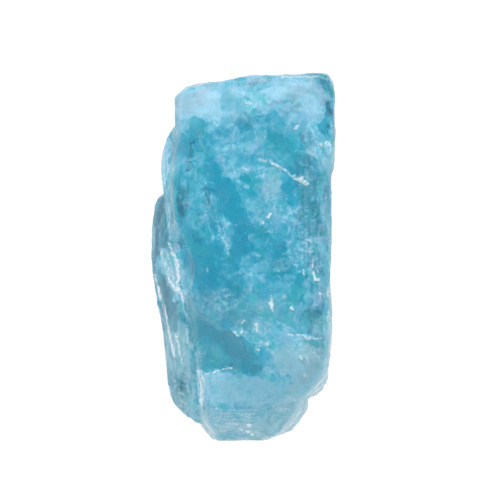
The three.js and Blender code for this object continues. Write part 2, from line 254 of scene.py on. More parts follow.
# %% Strokes for the shaded places
SHADED = {
    "hollow_corner": ([(-5.0, -6.8), (-4.6, -8.4)], 0.7, 1.15),
    "hollow_wall": ([(-2.6, -7.9), (-1.0, -8.4), (0.2, -9.5)], 0.75, 1.15),
    "hollow_wall_low": ([(0.2, -9.5), (1.2, -10.8)], 0.7, 0.8),
    "hollow_wall_top": ([(-4.5, -7.0), (-3.2, -7.6), (-2.0, -8.2)], 0.9, 0.95),
    "hollow_floor": ([(-3.6, -9.6), (-1.6, -9.8), (-0.4, -10.6)], 1.2, 0.7),
    "hollow_left": ([(-4.3, -9.2), (-4.0, -11.0)], 0.4, 0.6),
    "flake_trough": ([(-7.7, -2.6), (-7.3, -4.2), (-6.9, -6.4)], 0.75, 1.3),
    "flake_top": ([(-8.1, 4.8), (-7.9, 1.8)], 0.5, 0.35),
    "flake_left": ([(-8.9, 4.0), (-8.8, 0.0), (-8.2, -2.6)], 0.6, 0.55),
    "flake_low": ([(-7.0, -6.0), (-6.0, -8.6)], 0.4, 0.6),
    "flake_middle": ([(-7.4, 1.2), (-7.2, -0.8)], 0.3, 0.6),
    "right_edge_low": ([(5.6, -5.8), (7.4, -5.6)], 0.7, 0.3),
    "above_hollow": ([(-4.2, -5.0), (-1.6, -5.4), (2.4, -5.4)], 1.5, 0.6),
    "bottom_edge": ([(-3.3, -17.5), (-2.0, -18.0), (1.0, -18.05), (3.0, -17.75), (4.6, -16.9)], 0.16, 0.7),
    "ledge_dots": ([(-3.6, -15.2), (-4.0, -15.6)], 0.13, 0.7),
    "ledge_dots_low": ([(0.15, -16.85), (0.3, -17.0)], 0.11, 0.8),
    "under_right_ledge": ([(6.8, -8.4), (7.8, -8.5)], 0.25, 0.9),
    "low_middle": ([(0.3, -6.4), (0.6, -7.2)], 0.4, 0.6),
    "beside_ridge": ([(-5.5, -4.2), (-5.0, -5.6)], 0.6, 0.85),
    "middle_low": ([(-0.8, -3.8), (1.0, -4.3)], 1.2, 0.6),
    "flake_spot": ([(-7.3, -11.9), (-7.0, -12.3)], 0.35, 0.4),
    "flake_spot_right": ([(-5.0, -11.2), (-4.9, -11.8)], 0.3, 0.5),
    "flake_foot_edge": ([(-6.9, -14.6), (-5.4, -15.8), (-4.6, -16.2)], 0.25, 0.5),
    "flake_left_low": ([(-7.9, -9.5), (-7.6, -12.2)], 0.3, 0.35),
}
shade_brush = Brush(SHADED)
print("shaded places:", len(SHADED))

# %% [markdown]
# ## Milky patches
# Countless tiny fractures scatter light, so the crystal looks milky and pale there. This stone is milkiest
# across its top, along its right side, on the flat facet near its foot and on the flake. Milky strokes pull
# against the clear ones, and where both reach, the difference counts.

# %% Strokes for the milky patches
MILKY = {
    "top": ([(-5.6, 15.0), (-1.0, 15.7), (3.0, 16.4), (6.0, 16.2)], 2.0, 0.6),
    "top_right_middle": ([(3.4, 16.5), (6.4, 16.3)], 1.1, 1.0),
    "right_of_crack": ([(6.7, 7.6), (6.7, 5.4)], 0.9, 0.2),
    "under_top_right": ([(4.2, 14.8), (6.4, 13.6)], 1.2, 0.7),
    "right_high": ([(7.2, 12.4), (8.0, 9.4)], 0.9, 0.5),
    "right_strip": ([(6.8, 1.6), (6.9, -0.6), (7.2, -4.0)], 0.9, 0.4),
    "right_low_middle": ([(2.0, -4.6), (3.4, -6.4), (2.8, -8.0)], 1.1, 0.45),
    "right_low_edge": ([(7.8, -6.6), (7.6, -8.6)], 0.8, 0.5),
    "top_left": ([(-5.2, 15.0), (-3.3, 15.4)], 1.7, 1.25),
    "top_right": ([(7.3, 16.0), (7.0, 14.6)], 1.3, 0.9),
    "high_middle": ([(-3.0, 13.6), (-1.0, 14.2)], 0.9, 0.35),
    "over_crack": ([(-0.6, 11.0), (0.8, 11.0), (1.9, 11.8)], 0.6, 0.55),
    "left_of_crack": ([(-2.0, 10.6), (-1.2, 9.0)], 0.8, 0.35),
    "dots_row": ([(-0.6, 8.6), (1.4, 8.8)], 0.4, 0.5),
    "under_crack": ([(3.1, 8.2), (3.0, 6.4)], 0.8, 0.6),
    "middle": ([(1.6, 5.2), (4.4, 4.2)], 1.0, 0.3),
    "blade": ([(-2.4, 3.4), (-1.5, 0.8)], 0.3, 0.35),
    "left_ridge": ([(-5.7, -1.4), (-5.2, -2.4)], 0.5, 0.3),
    "low_facet": ([(-2.8, -12.8), (-1.2, -13.4)], 1.6, 0.8),
    "low_facet_right": ([(-0.4, -13.2), (3.2, -13.8)], 1.6, 0.58),
    "low_right": ([(4.4, -9.8), (6.2, -10.2), (7.4, -11.2)], 1.5, 0.95),
    "notch": ([(6.0, -12.6), (4.8, -14.2)], 1.4, 0.8),
    "bottom": ([(-3.0, -17.0), (0.0, -17.2), (3.6, -16.6), (5.4, -15.6)], 1.6, 0.85),
    "flake_low": ([(-6.4, -8.0), (-6.0, -11.2)], 1.0, 0.9),
    "flake_foot": ([(-6.4, -13.6), (-5.0, -15.6)], 1.0, 0.65),
    "flake_streak": ([(-7.9, 0.4), (-7.4, -1.4), (-6.8, -2.7)], 0.55, 1.3),
    "flake_ridge": ([(-7.1, 1.0), (-6.5, -1.2), (-6.4, -3.0), (-6.0, -4.2)], 0.45, 1.2),
    "flake_edge": ([(-9.0, 4.6), (-9.0, 1.0), (-8.6, -2.0)], 0.3, 0.5),
    "low_light": ([(1.6, -7.0), (2.5, -8.6)], 0.7, 0.5),
    "low_light_right": ([(4.6, -7.7), (6.4, -8.2)], 0.6, 0.7),
    "ridge_light": ([(-0.8, -7.4), (0.2, -8.0)], 0.4, 0.5),
    "hollow_rim": ([(1.2, -9.6), (2.4, -11.4), (3.2, -12.8)], 0.35, 0.5),
    "left_layer": ([(-7.7, 11.6), (-7.7, 8.0)], 0.5, 1.1),
}
milky_brush = Brush(MILKY)
print("milky patches:", len(MILKY))

# %% [markdown]
# ## Tints
# The blue isn't the same all over. The etched foot, the flake and the lower right lean to grey, and a few
# windows lean to green. These are tints that lie over the milky and clear pattern, so they get tables of
# their own. The last table says where the crystal shows its fine growth lines, which run along its length.

# %% Strokes for the grey tint
ASHEN = {
    "bottom": ([(-4.0, -17.0), (0.0, -17.0), (3.6, -16.4), (5.6, -15.2)], 2.0, 1.0),
    "low_right": ([(4.6, -10.0), (7.4, -10.8), (6.0, -13.4)], 1.8, 0.9),
    "flake": ([(-8.8, 4.6), (-8.2, 0.0), (-7.2, -5.0)], 1.4, 0.15),
    "above_hollow": ([(-4.6, -5.0), (-0.6, -5.6), (1.4, -6.4)], 1.6, 0.35),
    "hollow": ([(-4.0, -8.0), (-1.0, -9.6)], 1.6, 0.3),
    "flake_low": ([(-7.0, -7.0), (-6.2, -9.0), (-6.0, -14.4)], 1.4, 1.05),
    "low_facet": ([(-0.6, -13.2), (4.0, -13.9)], 1.5, 0.45),
    "low_light": ([(0.6, -7.4), (1.6, -8.6)], 0.8, 0.35),
    "flake_streak": ([(-7.2, 0.0), (-6.5, -3.0)], 0.7, 0.35),
    "beside_ridge": ([(-6.3, -5.0), (-6.0, -6.4)], 0.5, 0.5),
    "under_crack": ([(3.1, 8.2), (3.0, 6.4)], 0.8, 0.5),
    "right_edge": ([(8.6, 10.0), (8.4, -8.0)], 0.7, 0.5),
    "top_left": ([(-6.2, 14.6), (-4.4, 15.6)], 1.0, 0.15),
    "high_middle": ([(-0.4, 13.8), (0.8, 13.6)], 0.7, 0.5),
    "low_middle": ([(3.2, -4.6), (6.4, -6.4)], 1.4, 0.4),
}
ashen_brush = Brush(ASHEN)
print("grey tints:", len(ASHEN))

# %% Strokes for the green tint
GREEN = {
    "left_low": ([(-5.6, 1.6), (-4.6, 0.9), (-3.2, 0.6)], 0.7, 1.0),
    "left_rim": ([(-6.6, 7.0), (-6.3, 4.2)], 0.6, 0.7),
    "upper_right": ([(2.7, 12.2), (3.9, 11.3), (5.5, 10.0)], 0.9, 0.8),
    "right_small": ([(5.7, -2.2), (5.3, -4.0)], 0.6, 0.4),
    "shoulder_top": ([(-4.4, 13.6), (-4.2, 12.4)], 0.6, 0.8),
    "small_window": ([(0.6, 8.0), (0.8, 6.2)], 0.5, 0.7),
    "top": ([(1.0, 16.4), (1.6, 15.6)], 0.6, 0.6),
    "ridge": ([(-4.9, -6.4), (-4.6, -7.2)], 0.4, 0.6),
    "foot": ([(-4.9, -14.0), (-4.8, -15.2)], 0.4, 0.6),
    "hollow_floor": ([(-3.8, -10.8), (-1.6, -10.2)], 0.6, 0.6),
    "hollow_left": ([(-4.0, -8.2), (-3.4, -9.8)], 1.0, 0.4),
    "right_edge": ([(6.8, 7.6), (6.9, 4.4)], 0.9, 0.35),
}
green_brush = Brush(GREEN)
print("green tints:", len(GREEN))

# %% Strokes for the growth lines
STREAKED = {
    "flake": ([(-8.6, 5.4), (-8.0, 0.0), (-7.2, -5.0), (-6.2, -9.0), (-5.8, -14.0)], 1.5, 1.0),
    "left_layer": ([(-7.6, 12.0), (-7.6, 7.0)], 0.7, 0.6),
    "right_edge": ([(8.4, 6.0), (8.4, -9.0)], 0.5, 0.5),
    "right_side": ([(6.6, 8.6), (6.9, 3.0), (6.9, -4.0)], 1.3, 0.35),
    "left_side": ([(-5.9, 8.4), (-5.4, 5.4), (-4.4, 2.4)], 1.1, 0.3),
}
streaked_brush = Brush(STREAKED)
print("streaked places:", len(STREAKED))

# %% [markdown]
# ## Calm faces
# Where the crystal parted along one clean plane, its face is smooth and even in tone: at the top, on the
# facet near the foot, at the notch and on the wall of the hollow. One more table names them. There the
# relief sinks and the pattern pales, and the rough parts beside them look rougher for it.

# %% Strokes for the calm faces
CALM = {
    "top_left": ([(-5.4, 14.9), (-1.6, 15.6)], 2.0, 1.0),
    "top_right": ([(3.0, 16.7), (6.8, 16.5)], 1.1, 0.8),
    "low_facet": ([(-2.0, -13.0), (3.0, -13.6)], 1.5, 0.9),
    "notch": ([(5.8, -12.6), (4.6, -14.0)], 1.3, 0.8),
    "low_right": ([(5.0, -10.2), (7.0, -10.8)], 1.2, 0.4),
    "hollow_wall": ([(-4.4, -7.4), (-1.9, -8.1), (0.3, -9.7), (1.4, -11.1)], 0.9, 0.7),
    "band": ([(-2.9, 8.4), (-0.3, 3.4), (-0.2, 0.8)], 1.0, 0.6),
    "shoulder": ([(-6.2, 10.8), (-4.6, 11.3)], 1.0, 0.7),
    "left_low": ([(-4.6, -0.2), (-3.4, -1.8)], 1.4, 0.6),
    "right_window": ([(3.6, 1.0), (3.8, -1.0)], 0.9, 0.6),
    "upper_right": ([(3.6, 11.6), (5.6, 10.0)], 0.9, 0.5),
}
calm_brush = Brush(CALM)
print("calm faces:", len(CALM))

# %% [markdown]
# ## White marks and painted highlights
# The brightest things on the stone are small: a healed crack at the upper right, pits and specks where the
# surface is bruised, the rim of a chip, and the edges of the flake where it is thin enough to fray. They
# stand up a few hundredths of a millimetre, so they catch light, and they are drawn with narrow strokes. A
# few of these strokes are painted highlights and not marks of the stone: the glint and its line in the
# middle, the two edge lights on the right side and the sparkles on the ledges at the foot, where a facet
# would throw back a lamp.

# %% Strokes for the white marks and painted highlights
WHITE = {
    "crack_head": ([(1.6, 9.75), (2.2, 9.65), (2.8, 9.6)], 0.2, 0.55),
    "crack_bright": ([(2.9, 9.35), (3.35, 9.2), (3.8, 8.95)], 0.17, 0.9),
    "crack": ([(3.8, 8.9), (4.2, 8.65), (4.5, 8.4), (4.75, 8.1), (5.2, 8.05)], 0.13, 0.75),
    "crack_barb": ([(5.2, 8.0), (5.3, 8.3)], 0.1, 0.6),
    "crack_tail": ([(5.2, 7.95), (5.65, 7.75), (6.0, 7.55), (6.35, 7.3)], 0.2, 1.0),
    "crack_spur": ([(5.7, 7.8), (5.95, 8.0)], 0.14, 0.7),
    "crack_end": ([(6.3, 7.3), (6.6, 7.0)], 0.12, 0.5),
    "blade_left": ([(-2.55, 4.0), (-2.3, 2.8), (-2.05, 2.0), (-1.6, 1.3), (-1.45, 0.4)], 0.12, 0.5),
    "blade_right": ([(-2.0, 2.9), (-1.7, 2.2), (-1.4, 1.5), (-1.35, 0.9)], 0.09, 0.45),
    # painted highlights: glint_line and glint stand where a facet would reflect a lamp
    "glint_line": ([(1.8, 3.3), (2.1, 3.4)], 0.17, 0.75),
    "glint": ([(2.55, 4.05), (2.7, 4.25)], 0.2, 1.0),
    "spot_high": ([(5.45, 13.0), (5.25, 12.7)], 0.2, 0.7),
    "spot_right": ([(7.4, 11.35), (7.9, 11.2)], 0.2, 0.7),
    "spot_right_edge": ([(8.4, 11.3), (8.6, 11.1)], 0.2, 0.7),
    "spot_top": ([(0.3, 15.5), (0.7, 15.4)], 0.24, 0.55),
    "spot_top_small": ([(1.3, 15.3), (1.4, 15.1)], 0.2, 0.45),
    "dot_1": ([(0.55, 14.4), (0.7, 14.4)], 0.2, 0.4),
    "dot_2": ([(0.2, 8.9), (0.4, 8.7)], 0.16, 0.5),
    "dot_3": ([(1.1, 8.7), (1.2, 8.6)], 0.14, 0.5),
    "arc": ([(-3.6, 7.3), (-3.2, 7.4), (-2.9, 7.2)], 0.12, 0.5),
    "spot_low_head": ([(2.75, -3.9), (2.85, -4.2)], 0.16, 0.6),
    "spot_low": ([(2.8, -4.5), (2.9, -4.9)], 0.22, 0.85),
    "spot_low_foot": ([(2.95, -5.0), (3.1, -5.3)], 0.13, 0.7),
    "spot_low_right": ([(4.1, -3.7), (4.25, -3.95)], 0.2, 0.6),
    "spot_small": ([(4.85, -4.95), (4.95, -5.0)], 0.17, 1.0),
    "spot_faint": ([(3.5, -1.35), (3.7, -1.4)], 0.17, 0.45),
    "arc_right": ([(4.7, -0.1), (5.0, -0.3), (5.3, -0.35)], 0.14, 0.4),
    "pit_1": ([(6.2, 1.65), (6.6, 1.7), (6.9, 1.45)], 0.1, 0.7),
    "pit_2": ([(6.35, 0.65), (6.85, 0.55)], 0.16, 0.6),
    "pit_3": ([(6.95, 0.1), (6.95, -0.9)], 0.11, 0.7),
    "pit_4": ([(7.05, -1.4), (7.15, -1.8), (7.25, -2.15)], 0.13, 0.9),
    "pit_5": ([(7.25, -2.15), (7.65, -2.15)], 0.14, 1.0),
    "pit_6": ([(7.4, -1.2), (7.6, -1.6)], 0.1, 0.5),
    "pit_7": ([(6.05, -1.3), (6.15, -1.7)], 0.12, 0.7),
    "pit_8": ([(7.65, -3.5), (7.75, -3.75)], 0.15, 0.8),
    # painted highlights: the two edge lights are a lamp's reflection along the right edge
    "edge_light_1": ([(8.45, -3.0), (8.5, -3.9)], 0.12, 0.7),
    "edge_light_2": ([(8.5, -5.4), (8.55, -6.3)], 0.12, 0.7),
    "low_spot_1": ([(0.1, -6.2), (0.0, -6.5)], 0.12, 0.8),
    "low_spot_2": ([(-0.05, -6.9), (-0.1, -7.4)], 0.1, 0.7),
    "low_spot_3": ([(-0.8, -7.4), (-0.4, -7.8)], 0.14, 0.6),
    "low_spot_4": ([(1.4, -6.6), (1.55, -7.2)], 0.17, 0.7),
    "low_spot_5": ([(2.35, -8.4), (2.5, -8.6)], 0.14, 0.7),
    "low_spot_6": ([(1.4, -9.1), (1.65, -9.15)], 0.13, 1.0),
    "low_streak": ([(3.6, -6.5), (4.8, -6.9)], 0.12, 0.45),
    "right_ledge": ([(4.5, -7.6), (6.1, -7.7), (6.4, -8.0), (7.8, -8.0)], 0.13, 0.7),
    "right_dots": ([(5.65, -9.9), (5.8, -10.1)], 0.15, 0.7),
    "right_dots_low": ([(5.9, -11.5), (6.1, -11.7)], 0.15, 0.6),
    "right_dots_far": ([(6.35, -10.0), (6.5, -10.3)], 0.13, 0.5),
    "flake_ridge_top": ([(-7.6, 5.8), (-7.35, 3.4), (-7.2, 1.8)], 0.14, 0.5),
    "flake_ridge": ([(-7.3, 1.5), (-7.0, 0.7), (-6.7, 0.0), (-6.4, -1.0), (-6.35, -2.0)], 0.17, 0.85),
    "flake_ridge_mid": ([(-6.35, -2.0), (-6.35, -3.1), (-6.1, -3.7), (-5.9, -4.4)], 0.17, 0.9),
    "flake_ridge_low": ([(-5.95, -4.4), (-5.8, -5.3), (-5.4, -6.3)], 0.1, 0.55),
    "flake_streak": ([(-8.15, 0.9), (-7.95, 0.0), (-7.65, -1.2), (-7.4, -2.0)], 0.13, 0.6),
    "flake_streak_low": ([(-7.4, -2.0), (-7.0, -2.8), (-6.4, -3.4)], 0.16, 0.85),
    "flake_between": ([(-7.4, 0.4), (-7.1, -1.0), (-6.8, -2.2)], 0.12, 0.6),
    "flake_between_left": ([(-7.7, -0.2), (-7.3, -1.4), (-7.0, -2.2)], 0.1, 0.5),
    "flake_rim_high": ([(-8.75, -1.8), (-8.5, -3.1), (-8.2, -4.2)], 0.1, 0.8),
    "flake_rim": ([(-8.4, -3.1), (-8.0, -4.3), (-7.7, -5.7), (-7.5, -6.5)], 0.16, 1.0),
    "flake_rim_low": ([(-7.5, -6.5), (-7.2, -8.2), (-6.8, -9.8)], 0.17, 0.9),
    "flake_line": ([(-6.6, -7.6), (-6.3, -9.2), (-6.1, -10.6)], 0.13, 0.7),
    "flake_speckle": ([(-5.5, -6.8), (-5.4, -8.6), (-4.9, -9.2)], 0.12, 0.6),
    "white_blade": ([(-4.3, -11.3), (-4.05, -12.2), (-4.0, -13.2), (-4.15, -14.6)], 0.3, 0.95),
    "white_blade_left": ([(-4.6, -11.6), (-4.45, -12.8), (-4.35, -14.0)], 0.11, 0.6),
    "over_white_blade": ([(-4.6, -9.4), (-4.4, -10.6), (-4.25, -11.4)], 0.12, 0.5),
    "blade_foot": ([(-4.1, -14.8), (-3.9, -16.0), (-3.5, -16.6)], 0.12, 0.5),
    "hollow_rim": ([(-3.7, -11.6), (-2.8, -11.4), (-1.9, -11.05), (-1.0, -11.0)], 0.1, 0.7),
    "ledge": ([(-2.6, -15.4), (0.5, -15.6), (4.2, -15.1)], 0.1, 0.4),
    "ledge_low": ([(-2.6, -16.3), (-0.6, -16.1), (1.4, -16.1)], 0.09, 0.45),
    "ledge_lowest": ([(-2.0, -17.3), (0.2, -17.0), (2.2, -17.2)], 0.08, 0.4),
    "foot_fleck_1": ([(-6.8, -12.2), (-6.5, -12.9)], 0.12, 0.5),
    "foot_fleck_2": ([(-5.6, -12.9), (-5.3, -13.4)], 0.12, 0.5),
    "foot_fleck_3": ([(-6.1, -14.2), (-5.7, -14.6)], 0.12, 0.5),
    "foot_fleck_4": ([(-6.4, -13.5), (-5.9, -13.7)], 0.14, 0.5),
    "foot_fleck_5": ([(-6.3, -14.8), (-5.9, -15.0)], 0.12, 0.45),
    "foot_fleck_6": ([(-7.4, -10.8), (-7.2, -11.4)], 0.12, 0.45),
    "notch_rim": ([(4.3, -13.6), (5.2, -14.2), (6.6, -13.9)], 0.12, 0.4),
    # painted highlights: the four sparkles are lamp reflections on the ledges at the foot
    "sparkle_1": ([(0.6, -16.6), (0.68, -16.75)], 0.17, 1.2),
    "sparkle_2": ([(-0.2, -17.15), (-0.1, -17.2)], 0.13, 1.0),
    "sparkle_3": ([(0.45, -17.35), (0.6, -17.35)], 0.15, 1.0),
    "sparkle_4": ([(0.85, -17.65), (1.0, -17.7)], 0.12, 0.8),
    "ledge_fleck_1": ([(-1.7, -16.9), (-0.4, -16.6)], 0.1, 0.55),
    "ledge_fleck_2": ([(3.3, -14.95), (4.75, -15.1)], 0.1, 0.5),
    "ledge_fleck_3": ([(-2.7, -16.6), (-2.3, -16.75)], 0.14, 0.5),
    "ledge_fleck_4": ([(-2.2, -17.2), (-1.8, -17.3)], 0.12, 0.5),
    "ledge_fleck_5": ([(1.4, -16.9), (1.9, -17.0)], 0.1, 0.45),
    "ledge_line_1": ([(-3.2, -14.9), (-1.0, -15.2), (1.6, -15.2), (3.6, -14.6)], 0.07, 0.45),
    "ledge_line_2": ([(-2.9, -15.9), (-0.6, -15.75), (2.2, -15.9), (4.0, -15.6)], 0.07, 0.4),
    "ledge_line_3": ([(-1.8, -16.55), (0.0, -16.45), (1.0, -16.6)], 0.08, 0.45),
    "ledge_line_4": ([(-2.6, -17.55), (-0.4, -17.45), (1.6, -17.6), (3.2, -17.3)], 0.07, 0.4),
    "right_plate": ([(8.7, -0.6), (8.8, -3.6), (8.7, -7.2)], 0.12, 0.7),
    "left_layer": ([(-7.9, 10.4), (-7.95, 8.8), (-7.7, 6.6)], 0.16, 0.6),
    "right_rim": ([(9.1, 16.4), (9.1, 12.0)], 0.1, 0.4),
    "top_edge": ([(3.8, 17.9), (6.0, 18.0), (8.4, 17.8)], 0.13, 0.5),
}
white_and_glint_brush = Brush(WHITE)
print("white marks:", len(WHITE))

# %% [markdown]
# ## Relief
# Hackle is the rough, stepped texture of a break. Striae are the fine growth lines that run along an
# apatite prism. Grain is the sandy etching along the foot. Each could be a bump in the material, but then
# the outline would stay smooth and the exported mesh would be bare, so the corners themselves are moved.
# Crags give broad hollows between sharp ridges, terraces give treads with steep risers, and facets give
# small flat faces that each catch light their own way. Calm faces, clear windows and the rounded rims stay
# smoother than the milky parts, and the etched foot is rougher.

# %% Kinds of relief
CELL_SPREAD = 17.3
RISER_FROM = 0.72


def crags(p, length, stretch=(1, 1, 1), shift=0.0):
    """Sharp ridges with smooth hollows between them, from 0 to 1."""
    total = 0.0
    weights = 0.0
    for octave in range(3):
        weight = 0.5**octave
        total += weight * (1 - abs(wave(p, length * weight, stretch, shift + octave * 5))) ** 2
        weights += weight
    return total / weights


def facets(p, size, slope):
    """Small flat faces about `size` across, each tilted its own way."""
    spot = p / size
    centre = noise.voronoi(spot)[1][0]
    tilt = noise.cell_vector(centre * CELL_SPREAD) - Vector((0.5, 0.5, 0.5))
    return 2 * slope * size * tilt.dot(spot - centre)


def terraces(height, count):
    """Turns a smooth height into flat treads with short, steep risers."""
    tread = math.floor(height * count)
    return (tread + smoothstep(RISER_FROM, 1.0, height * count - tread)) / count


print("a facet 1 mm wide at the middle of the front:", round(facets(middle_of_stone, 1.0, 0.1), 3), "mm")

# %% The height of the relief at one place
CRAG_LENGTH = 2.8
CRAG_HEIGHT = 0.11
CRAG_MIDDLE = 0.72
STEP_LENGTH = 1.9
STEP_COUNT = 7
STEP_HEIGHT = 0.07
FACET_SIZE = 1.1
FACET_SLOPE = 0.09
SMALL_FACET_SIZE = 0.6
SMALL_FACET_SLOPE = 0.06
GRAIN_LENGTH = 0.5
GRAIN_HEIGHT = 0.014
STRIA_HEIGHT = 0.01
STRIA_HEIGHT_ON_SIDE = 0.035
WHITE_HEIGHT = 0.03
CALM_LOSS = 0.7
FOOT_GAIN = 0.4
RIM_LOSS = 0.7
RIM_CRAG_LOSS = 0.6


def relief(p, normal, calm, white, rim):
    """How far a corner moves along its normal, in millimetres."""
    q = pushed(p, 1.6, 0.5)
    broad = CRAG_HEIGHT * (crags(q, CRAG_LENGTH, (1, 1.4, 1)) - CRAG_MIDDLE) * (1 - RIM_CRAG_LOSS * rim)
    slope = 0.5 + 0.55 * wave(q, STEP_LENGTH, (1, 1.5, 1), 3.0) + 0.3 * wave(q, 0.8, shift=7.0)
    steps = STEP_HEIGHT * (terraces(slope, STEP_COUNT) - 0.5)
    large_facets = facets(pushed(p, 0.8, 0.25), FACET_SIZE, FACET_SLOPE)
    small_facets = facets(pushed(p, 0.4, 0.1), SMALL_FACET_SIZE, SMALL_FACET_SLOPE)
    grain = GRAIN_HEIGHT * wave(p, GRAIN_LENGTH, shift=17.0)
    on_side = 1 - smoothstep(0.2, 0.6, abs(normal.z))
    stria_height = STRIA_HEIGHT + STRIA_HEIGHT_ON_SIDE * on_side
    striae = stria_height * wave(p, 0.32 + 0.2 * on_side, (1, 9, 1), 23.0)
    at_foot = smoothstep(-14.5, -16.5, p.y)
    roughness = (1 - CALM_LOSS * calm) * (1 + FOOT_GAIN * at_foot) * (1 - RIM_LOSS * rim)
    return broad + roughness * (steps + large_facets + small_facets + grain) + striae + WHITE_HEIGHT * white


up = Vector((0.0, 0.0, 1.0))
print("relief at the middle of the front:", round(relief(middle_of_stone, up, 0.0, 0.0, 0.0), 3), "mm")

# %% [markdown]
# ## Masks
# A mask is a number that each corner carries, such as how milky the stone is there. The material reads
# masks by name, so the same strokes steer the relief and the colour, and a milky patch is rough and pale at
# once. The strokes are seen from the front, and would run down the sides as long smears. So they fade where
# a face turns downwards, and a broad noise takes over there, which gives the back milky and clear parts of
# its own. Most strokes are read at a place drawn to cells, so they end in angular patches. The white marks
# are too narrow for that, and are read at a place that is only pushed about a little.

# %% The masks at one place
CELL = 0.9
SMALL_CELL = 0.4
BACK_LENGTH = 5.0


def masks(p, normal):
    """Every mask at one corner, by name."""
    faces_up = smoothstep(-0.25, 0.25, normal.z)
    faces_down = 1 - faces_up
    angular = to_cell(pushed(to_cell(p, CELL, 0.7), 1.3, 0.45), SMALL_CELL, 0.5)
    ragged = pushed(pushed(p, 0.9, 0.14), 0.3, 0.06)
    behind = 0.5 + 0.7 * wave(p, BACK_LENGTH, shift=47)
    return {
        "clear": clear_brush.strength(angular) * faces_up + faces_down * max(0.0, behind),
        "shade": shade_brush.strength(angular) * faces_up,
        "milky": milky_brush.strength(angular) * faces_up + faces_down * max(0.0, 0.5 - behind),
        "white": white_and_glint_brush.strength(ragged) * smoothstep(0.2, 0.5, normal.z),
        # the rim mask also carries painted shade: the material darkens these steep faces with slate
        "rim": (1 - smoothstep(0.35, 0.8, normal.z)) * faces_up,
        "ashen": ashen_brush.strength(angular) * faces_up,
        "green": green_brush.strength(angular) * faces_up + faces_down * max(0.0, behind - 0.6),
        "streaked": streaked_brush.strength(angular) * faces_up + faces_down * 0.5,
        "calm": calm_brush.strength(angular) * faces_up,
    }


found = masks(middle_of_stone, up)
MASK_NAMES = tuple(found)
print("masks at the middle of the front:", {name: round(value, 2) for name, value in found.items()})

# %% [markdown]
# ## Moving the corners
# All moves are worked out before the first corner is moved, because a move would change the places that its
# neighbours read. The flat back that the stone rests on stays flat: the relief fades out over its lowest
# 0.6 mm, and no corner may sink below the table.

# %% Carve the relief and store the masks
REST_MARGIN = 0.6
WINDOW_CALM = 0.85

layers = [bm.verts.layers.float.new(name) for name in MASK_NAMES]
moves = []
for vert in bm.verts:
    found = masks(vert.co, vert.normal)
    for layer, name in zip(layers, MASK_NAMES):
        vert[layer] = found[name]
    calm = max(WINDOW_CALM * found["clear"], found["calm"])
    height = relief(vert.co, vert.normal, calm, found["white"], found["rim"])
    lifted = smoothstep(0.0, REST_MARGIN, vert.co.z)
    moves.append(vert.normal * lifted * height)
for vert, move in zip(bm.verts, moves):
    vert.co += move
    vert.co.z = max(vert.co.z, 0.0)
averages = {}
for layer, name in zip(layers, MASK_NAMES):
    averages[name] = round(sum(vert[layer] for vert in bm.verts) / len(bm.verts), 2)
print("largest move:", round(max(move.length for move in moves), 3), "mm")
print("masks on average:", averages)

# %% [markdown]
# ## Ridges and creases
# Every small ridge on a handled stone is bruised to a paler tone, and the material paints the ridges a
# little paler still as a highlight and the creases deeper in colour as shade. A corner's height over the
# middle of its neighbours says which it is: above 0 on a ridge, below 0 in a crease. That is one more mask,
# and it has to be measured after the corners have moved.

# %% Measure ridges and creases
bm.normal_update()
ridge_layer = bm.verts.layers.float.new("ridge")
ridges = []
for vert in bm.verts:
    neighbours = [edge.other_vert(vert).co for edge in vert.link_edges]
    middle = sum(neighbours, Vector()) / len(neighbours)
    spacing = sum((n - vert.co).length for n in neighbours) / len(neighbours)
    vert[ridge_layer] = (vert.co - middle).dot(vert.normal) / spacing
    ridges.append(vert[ridge_layer])
ridges.sort()
at_shares = [round(ridges[int(len(ridges) * share)], 3) for share in (0.05, 0.5, 0.95)]
print("ridge numbers at 5%, 50% and 95% of the corners:", at_shares)

# %% Back to metres
bmesh.ops.scale(bm, vec=Vector((MM, MM, MM)), verts=bm.verts)
bm.normal_update()
bm.to_mesh(stone.data)
bm.free()
for polygon in stone.data.polygons:
    polygon.use_smooth = True
print("triangles:", sum(len(polygon.vertices) - 2 for polygon in stone.data.polygons))

# %% [markdown]
# ## Nodes for the crystal's body
# The material is a node tree, and most of it repeats a few small steps: add a node, fill its sockets, do a
# sum, stretch a range, mix a colour in. A helper for each step keeps the tree readable. All patterns read
# Object coordinates, so they sit in the stone like real inclusions and turn with it.

# %% Helpers for sums, ranges and tints
def add(tree, kind, **settings):
    node = tree.nodes.new(kind)
    for key, value in settings.items():
        setattr(node, key, value)
    return node


def connect(tree, source, target):
    tree.links.new(source, target)


def fill(tree, node, values):
    """Gives each socket of a node a plain number or colour, or links it."""
    for name, value in values.items():
        if isinstance(value, (int, float, tuple)):
            node.inputs[name].default_value = value
        else:
            connect(tree, value, node.inputs[name])


def math_node(tree, operation, *values):
    node = add(tree, "ShaderNodeMath", operation=operation)
    fill(tree, node, dict(enumerate(values)))
    return node.outputs[0]


def ranged(tree, source, low, high, to_low=0.0, to_high=1.0):
    """Stretches the range from `low` to `high`, with soft ends."""
    node = add(tree, "ShaderNodeMapRange", interpolation_type="SMOOTHSTEP")
    fill(tree, node, {"Value": source, "From Min": low, "From Max": high})
    fill(tree, node, {"To Min": to_low, "To Max": to_high})
    return node.outputs["Result"]


def tinted(tree, share, below, above):
    """Mixes from one colour towards another by a share from 0 to 1."""
    node = add(tree, "ShaderNodeMix", data_type="RGBA")
    fill(tree, node, {"Factor": share, "A": below, "B": above})
    return node.outputs["Result"]


print("helpers for sums, ranges and tints are ready")

# %% [markdown]
# ## Patterns for the crystal's body
# Three kinds of pattern make up the inside of this stone. A cloud is soft noise, and stretched along one
# way it turns to fibres. A mosaic is a patchwork of blocky cells, as where many small breaks lie side by
# side. A crack net is the thin, broken lines along the edges of cells.

# %% Helpers for patterns
SOFT_BORDER = 0.25


